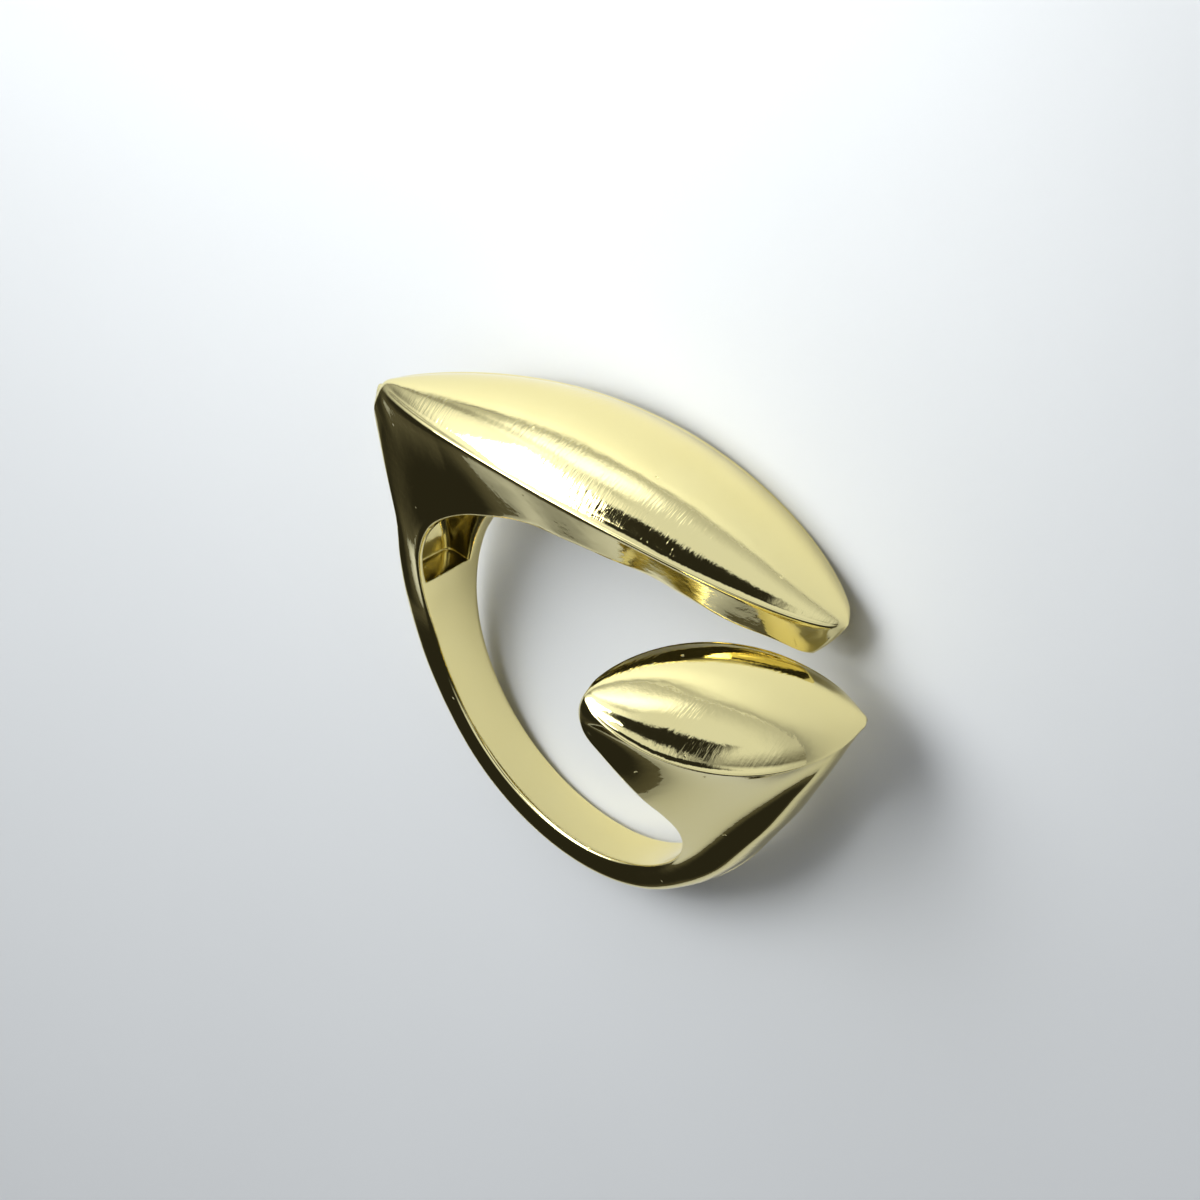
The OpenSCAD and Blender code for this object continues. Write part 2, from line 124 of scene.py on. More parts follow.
# Hollow under the long head: finger-side angle, share of the height that is hollowed, near and far walls,
# and how far its back is moved along X and Y from that share.
HOLLOW_ANGLE, HOLLOW_SHARE, HOLLOW_NEAR, HOLLOW_FAR, HOLLOW_X, HOLLOW_Y = range(6)
HOLLOW_ROWS = np.array([
    [48, -0.10, 1.20, 1.20, 0.00, 0.00],
    [54, 0.45, 0.95, 1.00, 0.00, 0.00],
    [62, 0.80, 0.85, 0.90, 0.00, 0.00],
    [75, 1.00, 0.80, 0.90, 0.00, 0.00],
    [95, 1.00, 0.75, 0.90, 0.00, 0.00],
    [118, 1.00, 0.70, 0.90, 0.00, 0.00],
    [138, 0.97, 0.60, 0.90, -0.10, 0.00],
    [150, 0.58, 0.42, 0.80, -0.30, -0.05],
    [159, 0.34, 0.36, 0.72, -0.50, -0.10],
    [165, 0.23, 0.36, 0.72, -0.80, -0.20],
    [169.2, 0.10, 0.40, 0.75, -1.10, -0.30],
])

# Leaves: outer tip, free tip, fullness towards each, rise, tilt in degrees, and at the outer tip the
# edges' extra softening, more of it down the walls, the width of the bell that evens the tip out, and how
# far from it the walls' own evening starts.
LONG_LEAF = dict(start=(-12.98, 10.2, 0.55), end=(11.98, 8.02, -4.08), full=(0.78, 0.65), rise=2.5, tilt=5,
    tip_soft=0.25, tip_shoulder=0.25, tip_round=0.27, tip_crisp=0.01)
SHORT_LEAF = dict(start=(14.8, 5.53, -2.15), end=(6.36, 7.2, 6.75), full=(0.71, 0.72), rise=0.05, tilt=15,
    tip_soft=0.0, tip_shoulder=0.1, tip_round=0.06, tip_crisp=1.0)
# Angle before which the long head's underside runs on straight.
STRAIGHT_FROM = 76
# Share of a leaf over which its outer tip's extra softening fades, length over which the shoulder's
# evening fades, a leaf's least half width, power of its width that the dome's height follows, and the share
# of the full width from which a dome has its polishing lines in full.
SHOULDER_REACH, SHOULDER_FADE = 0.35, 2.0
TIP_HALF_WIDTH = 0.38
DOME_POWER, LINES_FROM = 1.3, 0.4

# Widths of the bells that even the surface out, and their reaches: everywhere, at the outer tips, and at
# the free ends, which also have a bulge.
EDGE_ROUND = 0.05
TIP_REACH = 1.1
END_ROUND, END_REACH, END_BULGE = 0.2, 0.6, 0.1

# Shoulders: evening along the sweep and round the sections, the reach of both from the outer tip, how far
# from the tip the second sets in, and how far from a leaf's rims it stays off.
WALL_ROUND, OUTER_ROUND, WALL_REACH, OUTER_START, RIM_CRISP = 0.5, 0.4, 8.0, 1.6, 1.5
# Angle at the bottom of the band, between the left shoulder and the right one.
LOWEST = 265
# Walls drawn taut: first and last angle, rounds of drawing, and weight of the neighbours along the sweep.
TAUT_AREAS = ((132, 184, 300), (310, 403, 1500))
TAUT_ALONG = 0.97

# Points across each stretch of a section, and the most of the two sides that a softened corner takes.
RIM_POINTS, WALL_POINTS, EDGE_POINTS, DOME_POINTS = 6, 12, 10, 27
RIM_SHARES, EDGE_SHARES = (0.45, 0.45), (0.8, 0.49)
# The same inside the hollow, out from its mouth: strip beside the lip, lip, side, inner corner and roof.
MOUTH_POINTS, LIP_POINTS, SIDE_POINTS, INSIDE_POINTS, ROOF_POINTS = 2, 4, 6, 6, 9
LIP_SHARES, INSIDE_SHARES = (0.45, 0.3), (0.6, 0.45)
# Places tried along the sweep when sections are spaced out, and points that an evening bell takes in.
FINE_PLACES, BELL_POINTS = 3000, 56

# Hollow: angle over which its lip drops, angle past it that has close sections and their number, extra
# wall at the roof, most share of a width that one wall takes, bow of the roof under the dome, softening of
# the lip and of the inside, and the depths over which the hollow and its duller finish set in.
HOLLOW_LIP = 0.7
LIP_MARGIN, LIP_ROWS = 0.2, 18
ROOF_WALL, MOST_WALL, ROOF_BOW = 0.1, 0.42, 0.6
LIP_EDGE, INSIDE_EDGE = 0.09, 0.45
HOLLOW_SETS_IN, DULL_SETS_IN = 0.12, 0.4

# Air of the studio. A step is a direction and two shares along it: the air changes smoothly from nothing
# at the first share to all at the second. The steps of the gap and of the seam are multiplied.
ABOVE = ((0, 0, 1), 0.0, 0.32)
BEHIND = ((0, 0, 1), 0.30, 0.0)
SIDE = ((-0.10, 0.99, 0.0), 0.05, 0.45)
OVERHEAD = ((0.0, 0.17, 0.98), 0.70, 0.95)
GLOW = ((-0.42, 0.89, 0.17), 0.86, 0.99)
HALO = ((-0.54, 0.42, 0.73), 0.78, 0.95)
ACROSS_GAP, ACROSS_SEAM, ALONG = (-0.108, 0.843, -0.526), (0.382, 0.367, -0.847), (1, 0, 0)
GAP = ((ACROSS_GAP, 0.22, 0.16), (ACROSS_GAP, -0.20, -0.13), (ALONG, -0.30, -0.12), (ALONG, 0.74, 0.60))
SEAM = ((ACROSS_SEAM, -0.32, -0.24), (ACROSS_SEAM, -0.13, -0.21), (ALONG, -0.05, -0.20))
# Least light of the bright side near the floor, lift of the dim air there, and strengths of seam and halo.
SIDE_LEAST, BEHIND_LIFT, SEAM_SHARE, HALO_SHARE = 0.66, 4, 0.45, 0.4

# Softboxes, in metres: place, point on the floor that each faces, width and length, and the spread of its
# beam in degrees.
TOP_BOX = dict(place=(-0.095, 0.075, 0.13), aim=(-0.04, 0.06, 0.0), size=(0.14, 0.11), spread=110)
POOL_BOX = dict(place=(-0.03, 0.065, 0.12), aim=(-0.018, 0.045, 0.0), size=(0.05, 0.05), spread=44)
FAR_BOX = dict(place=(0.0, 0.75, 0.60), aim=(0.0, 0.75, 0.0), size=(1.0, 0.60), spread=70)
LAMP_COLOUR = (0.93, 0.97, 1.0)

# Camera about the upright ring, from the finger hole's two rims in the photo: its height and its turn to
# the right in degrees, its distance, the width of the view there, and the middle of the view, to the right
# and up from the middle of the hole.
CAMERA_RISE, CAMERA_TURN = 40, 45
CAMERA_BACK, VIEW_WIDTH = 300, 53.26
VIEW_RIGHT, VIEW_UP = 0.515, 3.653
SENSOR_WIDTH = 36
# Nearest and farthest seen, and half of the floor's width, in metres.
NEAREST_SEEN, FARTHEST_SEEN = 0.01, 20
FLOOR_HALF = 1.5


class RingSizes(bpy.types.PropertyGroup):
    """Sizes of the ring that a user would change."""

    bore_radius: FloatProperty(name="Finger hole radius", description="Radius of the finger hole",
        default=0.0086, unit="LENGTH", subtype="DISTANCE", precision=5)
    long_half_width: FloatProperty(name="Long head half width", description="Half the long leaf's width",
        default=0.0036, unit="LENGTH", subtype="DISTANCE", precision=5)
    short_half_width: FloatProperty(name="Short head half width", description="Half the short leaf's width",
        default=0.0035, unit="LENGTH", subtype="DISTANCE", precision=5)
    long_dome: FloatProperty(name="Long dome height", description="Height of the long leaf's dome",
        default=0.00135, unit="LENGTH", subtype="DISTANCE", precision=5)
    short_dome: FloatProperty(name="Short dome height", description="Height of the short leaf's dome",
        default=0.00135, unit="LENGTH", subtype="DISTANCE", precision=5)
    dome_fullness: FloatProperty(name="Dome fullness", default=2.5, min=1.5, max=4,
        description="Power of the domes' curve across: 2 is a parabola, and more is fuller")
    long_edge: FloatProperty(name="Long head edge", description="Softening of the long leaf's edges",
        default=0.00018, unit="LENGTH", subtype="DISTANCE", precision=5)
    short_edge: FloatProperty(name="Short head edge", description="Softening of the short leaf's edges",
        default=0.00016, unit="LENGTH", subtype="DISTANCE", precision=5)
    rim_edge: FloatProperty(name="Rim edge", description="Softening of the finger hole's rims",
        default=0.0002, unit="LENGTH", subtype="DISTANCE", precision=5)
    hollow_roof: FloatProperty(name="Hollow roof", description="Metal left over the hollow, under the dome",
        default=0.0004, unit="LENGTH", subtype="DISTANCE", precision=5)
    spacing: FloatProperty(name="Spacing", description="Distance between sections along the sweep",
        default=0.00014, unit="LENGTH", subtype="DISTANCE", precision=5)


class RingFinish(bpy.types.PropertyGroup):
    """Colour and polish of the metal."""

    gold: FloatVectorProperty(name="Plating", description="Colour of the pale gold plating", subtype="COLOR",
        size=3, min=0, max=1, default=(0.90, 0.80, 0.41))
    roughness: FloatProperty(name="Polish", description="Roughness of the polished domes and walls",
        default=0.06, min=0, max=1, subtype="FACTOR")
    cast_roughness: FloatProperty(name="Cast inside", description="Roughness inside the hollow",
        default=0.15, min=0, max=1, subtype="FACTOR")


class StudioLook(bpy.types.PropertyGroup):
    """Floor and light of the studio."""

    floor: FloatVectorProperty(name="Floor", description="Colour of the floor", subtype="COLOR", size=3,
        min=0, max=1, default=(0.62, 0.62, 0.61))
    bright: FloatVectorProperty(name="Bright side", description="Light from the bright side of the air",
        subtype="COLOR", size=3, min=0, max=4, default=(0.78, 0.82, 0.88))
    dim: FloatVectorProperty(name="Dim side", description="Light from the rest of the air", subtype="COLOR",
        size=3, min=0, max=4, default=(0.022, 0.021, 0.016))
    glow: FloatVectorProperty(name="Glow", description="Light from the middle of the bright side",
        subtype="COLOR", size=3, min=0, max=4, default=(2.1, 2.2, 2.4))
    top_power: FloatProperty(name="Top light", description="Power of the overhead softbox", default=0.15,
        min=0, unit="POWER")
    far_power: FloatProperty(name="Far light", description="Power of the softbox over the far floor",
        default=2.8, min=0, unit="POWER")
    pool_power: FloatProperty(name="Pool light", description="Power of the narrow light before the heads",
        default=0.009, min=0, unit="POWER")


def curve(table, x, y, at):
    """A smooth curve through the y column of a table, read at the given x values.

    Each row's slope is the mean of its two spans' slopes, weighted by the other span's length, and each
    span is the cubic that joins its rows with those slopes.
    """
    xs, ys = table[:, x], table[:, y]
    spans = np.diff(xs)
    slopes = np.diff(ys) / spans
    rows = np.concatenate([slopes[:1], (slopes[:-1] * spans[1:] + slopes[1:] * spans[:-1])
        / (xs[2:] - xs[:-2]), slopes[-1:]])
    i = np.clip(np.searchsorted(xs, at, side="right") - 1, 0, len(xs) - 2)
    h = spans[i]
    t = (at - xs[i]) / h
    return (ys[i] * (1 + 2 * t) * (1 - t) ** 2 + h * rows[i] * t * (1 - t) ** 2
        + ys[i + 1] * t * t * (3 - 2 * t) + h * rows[i + 1] * t * t * (t - 1))


def unit(v):
    """Vectors of length one along the last axis."""
    return v / np.maximum(np.linalg.norm(v, axis=-1, keepdims=True), 1e-12)


def steps(t):
    """Smooth step from 0 to 1: three t squared less two t cubed, t held between 0 and 1."""
    t = np.clip(t, 0, 1)
    return t * t * (3 - 2 * t)


def rim_points(angle, sizes, keep=1.0):
    """Near and far finger-side points of sections at angles, in degrees about the hole.

    Each is at the table's radius and height. Before STRAIGHT_FROM the radius is divided by the cosine of
    the angle still to go, which runs the underside on straight. The heights keep a share of their
    distance from each other.
    """
    bore = sizes.bore_radius / MM
    on = 1 / np.cos(np.radians(np.maximum(STRAIGHT_FROM - angle, 0)))
    turn = np.radians(angle)
    heights = [curve(RIM_ROWS, RIM_ANGLE, column, angle) for column in (RIM_NEAR, RIM_FAR)]
    middle = (heights[0] + heights[1]) / 2
    points = []
    for radius, height in zip((RIM_NEAR_RADIUS, RIM_FAR_RADIUS), heights):
        r = np.maximum(curve(RIM_ROWS, RIM_ANGLE, radius, angle), bore) * on
        points.append(np.stack([r * np.cos(turn), r * np.sin(turn),
            middle + (height - middle) * keep], -1))
    return points


def leaf_frame(leaf):
    """A leaf's length and its axis, side and up directions, the last two turned by the tilt."""
    start, end = np.array(leaf["start"]), np.array(leaf["end"])
    axis = unit(end - start)
    side = unit(np.cross(axis, (0, 1, 0)))
    side = -side if side[2] < 0 else side
    up = np.cross(side, axis)
    up = -up if up[1] < 0 else up
    tilt = math.radians(leaf["tilt"])
    return (np.linalg.norm(end - start), axis, math.cos(tilt) * side - math.sin(tilt) * up,
        math.cos(tilt) * up + math.sin(tilt) * side)


def leaf_sections(leaf, rows, half_width, dome, edge, share, sizes):
    """Sections under a leaf at shares of its length from the outer tip.

    The middle line is straight between the tips and rises by four s (1 - s) times the rise. The edges
    stand off it by the half width times s to one power times (1 - s) to another, scaled to 1 at its
    greatest, and never less than the tip's half width. Over the last END_REACH before the free tip,
    widths close as a quarter circle does and the end wall bulges.
    """
    start, end = np.array(leaf["start"]), np.array(leaf["end"])
    length, axis, side, up = leaf_frame(leaf)
    a, b = leaf["full"]
    widest = a / (a + b)

    def width(s):
        return np.maximum(s, 0) ** a * np.maximum(1 - s, 0) ** b / (widest ** a * (1 - widest) ** b)

    to_end = (1 - share) * length / END_REACH
    closing = np.sqrt(np.maximum(1 - np.maximum(1 - to_end, 0) ** 2, 0))
    middle = start + share[:, None] * (end - start) + (4 * share * (1 - share) * leaf["rise"])[:, None] * up
    half = (np.maximum(TIP_HALF_WIDTH, half_width * width(share)) * closing)[:, None] * side
    out_near, out_far = middle + half, middle - half
    angle = curve(rows, SHARE, SHARE_ANGLE, share)
    near, far = rim_points(angle, sizes, closing)
    shoulder = np.maximum(0, 1 - share / SHOULDER_REACH)
    soft = edge + leaf["tip_soft"] * shoulder
    end_bulge = (END_BULGE * np.exp(-to_end ** 2))[:, None] * axis
    return dict(angle=angle, in_near=near, in_far=far, out_near=out_near, out_far=out_far,
        lift=(dome * width(share) ** DOME_POWER)[:, None] * up, wall_lift=end_bulge, edge=soft,
        wall_edge=soft + leaf["tip_shoulder"] * shoulder ** 4, head=steps(width(share) / LINES_FROM),
        shoulder=steps(1 - share * length / SHOULDER_FADE), leaf=1 + 0 * share)


def band_sections(angle, sizes):
    """Sections of the band and its two shoulders at finger-side angles, straight from their table."""
    column = [curve(OUT_ROWS, OUT_ANGLE, k, angle) for k in range(OUT_ROWS.shape[1])]
    turn, r = np.radians(column[OUT_TURN]), column[OUT_RADIUS]
    x, y = r * np.cos(turn), r * np.sin(turn)
    near, far = rim_points(angle, sizes)
    out_near, out_far = (np.stack([x, y, column[k]], -1) for k in (OUT_NEAR, OUT_FAR))
    return dict(angle=angle, in_near=near, in_far=far, out_near=out_near, out_far=out_far,
        lift=column[OUT_SWELL][:, None] * np.stack([np.cos(turn), np.sin(turn), 0 * turn], -1),
        wall_lift=0 * near, edge=column[OUT_EDGE], wall_edge=column[OUT_WALL_EDGE], head=0 * angle,
        shoulder=1 + 0 * angle, leaf=0 * angle)


def corner(before, at, after, soft, most, count):
    """A softened corner: the quadratic curve that leaves one side and joins the next, its middle control
    point at the corner itself, its ends set back by the softening or by a share of the side."""
    back, on = before - at, after - at
    reach = [np.minimum(s, m * np.linalg.norm(d, axis=-1))[:, None] for s, m, d in
        zip(soft, most, (back, on))]
    p, q = at + unit(back) * reach[0], at + unit(on) * reach[1]
    t = np.linspace(0, 1, count)[None, :, None]
    return (1 - t) ** 2 * p[:, None] + 2 * t * (1 - t) * at[:, None] + t * t * q[:, None]


def between(p, q, count, lift=0.0, fullness=2.0):
    """Points strictly between two ends, raised by the lift times one less |2 t - 1| to the fullness."""
    t = np.linspace(0, 1, count + 2)[1:-1][None, :, None]
    lift = np.asarray(lift)
    rise = 1 - np.abs(2 * t - 1) ** fullness
    return p[:, None] * (1 - t) + q[:, None] * t + (lift[:, None] if lift.ndim else lift) * rise


def hollow_path(far_end, near_end, s, roof):
    """Finger side of the sections, from far rim to near rim, with the hollow drawn up into the head.

    The mouth's corners lie on the finger side, in from the rims by the walls. The roof's corners lie on the
    lines from them to the head's edges, up by the hollowed share of the height. All corners are softened,
    and where nothing is hollowed the path is the plain straight side. The second value is the duller
    finish's share, from 0 to 1 as the hollow deepens.
    """
    angle = s["angle"]
    first, last = HOLLOW_ROWS[0, HOLLOW_ANGLE], HOLLOW_ROWS[-1, HOLLOW_ANGLE]
    held = np.clip(angle, first, last)
    near_wall, far_wall = (curve(HOLLOW_ROWS, HOLLOW_ANGLE, k, held) for k in (HOLLOW_NEAR, HOLLOW_FAR))
    span = np.linalg.norm(s["in_near"] - s["in_far"], axis=-1)
    top = np.linalg.norm(s["out_near"] - s["out_far"], axis=-1)

    def set_in(start, end, wall, whole):
        """Points in from the start towards the end by the wall, or by MOST_WALL of the whole."""
        return s[start] + unit(s[end] - s[start]) * np.minimum(wall, MOST_WALL * whole)[:, None]

    in_near = set_in("in_near", "in_far", near_wall, span)
    in_far = set_in("in_far", "in_near", far_wall, span)
    out_near = set_in("out_near", "out_far", near_wall + ROOF_WALL, top)
    out_far = set_in("out_far", "out_near", far_wall + ROOF_WALL, top)
    height = np.linalg.norm(out_near + out_far - in_near - in_far, axis=-1) / 2
    depth = np.maximum(curve(HOLLOW_ROWS, HOLLOW_ANGLE, HOLLOW_SHARE, held), 0) * (height - roof)
    ending = steps((last + HOLLOW_LIP - angle) / HOLLOW_LIP)
    depth = np.where(angle < first, 0, depth) * ending
    run = (depth / height)[:, None]
    moved = np.stack([curve(HOLLOW_ROWS, HOLLOW_ANGLE, k, held) * ending for k in (HOLLOW_X, HOLLOW_Y)]
        + [0 * angle], -1)
    top_near = in_near + run * (out_near - in_near) + moved
    top_far = in_far + run * (out_far - in_far) + moved
    depth = depth + np.linalg.norm(moved, axis=-1)
    lip, inside = np.full(len(angle), LIP_EDGE), np.full(len(angle), INSIDE_EDGE)
    lips_far = corner(far_end, in_far, top_far, (lip, lip), LIP_SHARES, LIP_POINTS)
    roof_far = corner(in_far, top_far, top_near, (inside, inside), INSIDE_SHARES, INSIDE_POINTS)
    roof_near = corner(top_far, top_near, in_near, (inside, inside), INSIDE_SHARES[::-1], INSIDE_POINTS)
    lips_near = corner(top_near, in_near, near_end, (lip, lip), LIP_SHARES[::-1], LIP_POINTS)
    bow = ROOF_BOW * s["lift"] * np.clip(run, 0, 1)
    path = np.concatenate([
        between(far_end, lips_far[:, 0], MOUTH_POINTS), lips_far,
        between(lips_far[:, -1], roof_far[:, 0], SIDE_POINTS), roof_far,
        between(roof_far[:, -1], roof_near[:, 0], ROOF_POINTS, bow), roof_near,
        between(roof_near[:, -1], lips_near[:, 0], SIDE_POINTS), lips_near,
        between(lips_near[:, -1], near_end, MOUTH_POINTS),
    ], 1)
    mix = steps(depth / HOLLOW_SETS_IN)[:, None, None]
    plain = between(far_end, near_end, path.shape[1])
    return plain * (1 - mix) + path * mix, steps(depth / DULL_SETS_IN)


def even_steps(sections_at, first, last, space):
    """Places from first to last whose sections stand the same space apart, where a corner moves most."""
    fine = np.linspace(first, last, FINE_PLACES)
    s = sections_at(fine)
    moved = np.max([np.linalg.norm(np.diff(s[key], axis=0), axis=-1)
        for key in ("out_near", "out_far", "in_near", "in_far")], 0)
    run = np.concatenate([[0], np.cumsum(moved)])
    return np.interp(np.linspace(0, run[-1], int(run[-1] / space) + 2), run, fine)


def evened(points, width):
    """Points evened out along the first axis: each becomes the mean of its line's points, weighted by a
    bell curve of its own width over the distance along the line, up to BELL_POINTS points either way."""
    ahead = np.linalg.norm(np.roll(points, -1, 0) - points, axis=-1)
    space = (ahead + np.roll(ahead, 1, 0)) / 2 + 1e-9
    total, weight = points * space[..., None], space.copy()
    for way in (1, -1):
        away = np.zeros_like(space)
        for step in range(1, BELL_POINTS + 1):
            away = away + (np.roll(ahead, 1 - step, 0) if way == 1 else np.roll(ahead, step, 0))
            share = np.exp(-0.5 * (away / width) ** 2) * np.roll(space, -way * step, 0)
            total += share[..., None] * np.roll(points, -way * step, 0)
            weight += share
    return total / weight[..., None]


def taut(grid, rows, columns, rounds):
    """Draw a block of the grid taut between the points round it: time and again, each point becomes the
    mean of its four neighbours, the two along the sweep having most of the weight."""
    (a, b), (c, d) = rows, columns
    for _ in range(rounds):
        grid[a:b, c:d] = (TAUT_ALONG * (grid[a - 1:b - 1, c:d] + grid[a + 1:b + 1, c:d])
            + (1 - TAUT_ALONG) * (grid[a:b, c - 1:d - 1] + grid[a:b, c + 1:d + 1])) / 2


def softened(grid, width, round_width, partner):
    """The grid evened out along the sweep by one width and then round its sections by another.

    Past each free end the sweep runs on as its own mirror, the near columns read as the far ones, so the
    ends stay closed.
    """
    def run_on(values):
        """The values of all rows, with BELL_POINTS mirrored rows before them and after them."""
        return np.concatenate([values[BELL_POINTS:0:-1][:, partner], values,
            values[-2:-BELL_POINTS - 2:-1][:, partner]])

    grid = evened(run_on(grid), run_on(width))[BELL_POINTS:-BELL_POINTS]
    return np.moveaxis(evened(np.moveaxis(grid, 1, 0), round_width.T), 0, 1)


def ring_sections(sizes):
    """All sections of the ring in one sweep.

    They run from the long head's free tip over its leaf, down the left shoulder, round the band, up the
    right shoulder and over the short leaf to its free tip, and stand closer at the hollow's lip.
    """
    def long_at(share):
        return leaf_sections(LONG_LEAF, LONG_ROWS, sizes.long_half_width / MM, sizes.long_dome / MM,
            sizes.long_edge / MM, share, sizes)

    def short_at(share):
        return leaf_sections(SHORT_LEAF, SHORT_ROWS, sizes.short_half_width / MM, sizes.short_dome / MM,
            sizes.short_edge / MM, share, sizes)

    space = sizes.spacing / MM
    first, last = OUT_ROWS[0, OUT_ANGLE], OUT_ROWS[-1, OUT_ANGLE]
    lip = HOLLOW_ROWS[-1, HOLLOW_ANGLE] + np.linspace(-LIP_MARGIN, HOLLOW_LIP + LIP_MARGIN, LIP_ROWS)
    band = even_steps(lambda a: band_sections(a, sizes), first, last, space)[1:-1]
    band = band[(band < lip[0] - LIP_MARGIN) | (band > lip[-1] + LIP_MARGIN)]
    band = np.unique(np.concatenate([band, lip]))
    parts = [long_at(even_steps(long_at, 1, 0, space)), band_sections(band, sizes),
        short_at(even_steps(short_at, 0, 1, space))]
    return {key: np.concatenate([part[key] for part in parts]) for key in parts[0]}


def section_points(s, sizes):
    """The sections as one grid, a row of points for each, the columns at which its stretches end, and the
    hollow's share of each row's finish.

    Each section goes round its near rim and wall, its near edge, its domed top, its far edge, wall and
    rim, and its finger side.
    """
    rim = np.full(len(s["angle"]), sizes.rim_edge / MM)
    in_near = corner(s["in_far"], s["in_near"], s["out_near"], (rim, rim), RIM_SHARES, RIM_POINTS)
    out_near = corner(s["in_near"], s["out_near"], s["out_far"], (s["wall_edge"], s["edge"]),
        EDGE_SHARES, EDGE_POINTS)
    out_far = corner(s["out_near"], s["out_far"], s["in_far"], (s["edge"], s["wall_edge"]),
        EDGE_SHARES[::-1], EDGE_POINTS)
    in_far = corner(s["out_far"], s["in_far"], s["in_near"], (rim, rim), RIM_SHARES, RIM_POINTS)
    inside, hollow = hollow_path(in_far[:, -1], in_near[:, 0], s, sizes.hollow_roof / MM)
    stretches = [
        in_near, between(in_near[:, -1], out_near[:, 0], WALL_POINTS, s["wall_lift"]),
        out_near, between(out_near[:, -1], out_far[:, 0], DOME_POINTS, s["lift"], sizes.dome_fullness),
        out_far, between(out_far[:, -1], in_far[:, 0], WALL_POINTS, s["wall_lift"]),
        in_far, inside,
    ]
    return np.concatenate(stretches, 1), np.cumsum([part.shape[1] for part in stretches]), hollow


def tip_widths(grid, past_top):
    """Width of the evening bell at each point: EDGE_ROUND, and more towards each free end and outer tip.

    What is added falls with the distance as exp(-(distance / reach) squared) does. A free end's distance
    is the least one to every fourth point of its near and top sides.
    """
    width = np.full(grid.shape[:2], EDGE_ROUND)
    for row in (0, -1):
        free_end = grid[row, :past_top:4]
        away = np.min(np.linalg.norm(grid[:, :, None] - free_end[None, None], axis=-1), -1)
        width += END_ROUND * np.exp(-(away / END_REACH) ** 2)
    for leaf in (LONG_LEAF, SHORT_LEAF):
        away = np.linalg.norm(grid - np.array(leaf["start"]), axis=-1)
        width += leaf["tip_round"] * np.exp(-(away / TIP_REACH) ** 2)
    return width


def shoulder_widths(width, grid, ends, s):
    """The widths along the sweep and round the sections, both wider on the outside of the shoulders.

    What is added falls with the distance from the outer tip as exp(-(distance / reach) squared) does. It
    sets in a little way off the tip, and round the sections it stays off a leaf's rims.
    """
    width, round_width = width.copy(), width.copy()
    columns = np.arange(grid.shape[1])
    outer = ((columns >= ends[0]) & (columns < ends[5])) * s["shoulder"][:, None]
    from_rim = np.min([np.linalg.norm(grid - grid[:, k:k + 1], axis=-1)
        for k in ((ends[1] + ends[2]) // 2, (ends[3] + ends[4]) // 2)], 0)
    off_rim = 1 - np.exp(-(from_rim / RIM_CRISP) ** 2) * s["leaf"][:, None]
    on_left = (s["angle"] < LOWEST)[:, None]
    for leaf, side in ((LONG_LEAF, on_left), (SHORT_LEAF, ~on_left)):
        away = np.linalg.norm(grid - np.array(leaf["start"]), axis=-1)
        by_tip = np.exp(-(away / WALL_REACH) ** 2) * side * outer
        width += WALL_ROUND * by_tip * (1 - np.exp(-(away / leaf["tip_crisp"]) ** 2))
        round_width += OUTER_ROUND * by_tip * (1 - np.exp(-(away / OUTER_START) ** 2)) * off_rim
    return width, round_width


def ring_surface(sizes):
    """The whole ring as one grid of points, the finish masks of its domes and its hollow, and its mirror
    columns. At the two free tips the near and far halves meet."""
    s = ring_sections(sizes)
    grid, ends, hollow = section_points(s, sizes)
    columns = np.arange(grid.shape[1])
    partner = (ends[2] + ends[3] - 1 - columns) % len(columns)
    for row in (0, -1):
        grid[row] = (grid[row] + grid[row][partner]) / 2
    width = tip_widths(grid, ends[3])
    for least, most, rounds in TAUT_AREAS:
        rows = np.flatnonzero((s["angle"] > least) & (s["angle"] < most))
        for block in ((ends[0], ends[1]), (ends[4], ends[5])):
            taut(grid, (rows[0], rows[-1]), block, rounds)
    grid = softened(grid, *shoulder_widths(width, grid, ends, s), partner)
    dome = ((columns >= ends[2]) & (columns < ends[3])) * s["head"][:, None]
    dull = (columns >= ends[6]) * hollow[:, None]
    return grid, (dome, dull), partner


def laid_down(points):
    """Millimetres of the upright ring to metres of the ring lying on its far side."""
    a, b = np.radians(LAY_TURN)
    x, y, z = np.moveaxis(points, -1, 0)
    y, z = y * np.cos(a) - z * np.sin(a), y * np.sin(a) + z * np.cos(a)
    x, z = x * np.cos(b) + z * np.sin(b), z * np.cos(b) - x * np.sin(b)
    return (np.stack([x, y, z], -1) + np.array(LAY_MOVE)) * MM


def ring_mesh(name, sizes):
    """Mesh of the ring: the grid's quads, the near and far halves of the end rows sharing their points."""
    grid, masks, partner = ring_surface(sizes)
    m, n = grid.shape[:2]
    index = np.arange(m * n).reshape(m, n)
    for row in (0, -1):
        index[row] = np.minimum(index[row], index[row][partner])
    used, index = np.unique(index, return_inverse=True)
    index = index.reshape(m, n)
    points = laid_down(grid.reshape(-1, 3)[used])
    after = np.roll(index, -1, 1)
    quads = np.stack([index[:-1], after[:-1], after[1:], index[1:]], -1).reshape(-1, 4)
    differs = quads != np.roll(quads, 1, 1)
    corners = differs.sum(1)
    folded = quads[corners == 3][differs[corners == 3]].reshape(-1, 3)
    mesh = bpy.data.meshes.new(name)
    mesh.from_pydata(points.tolist(), [], quads[corners == 4].tolist() + folded.tolist())
    for key, mask in zip(("dome", "hollow"), masks):
        mesh.attributes.new(key, "FLOAT", "POINT").data.foreach_set("value",
            mask.reshape(-1)[used].astype(np.float32))
    mesh.polygons.foreach_set("use_smooth", np.ones(len(mesh.polygons), bool))
    mesh.validate()
    mesh.update()
    return mesh


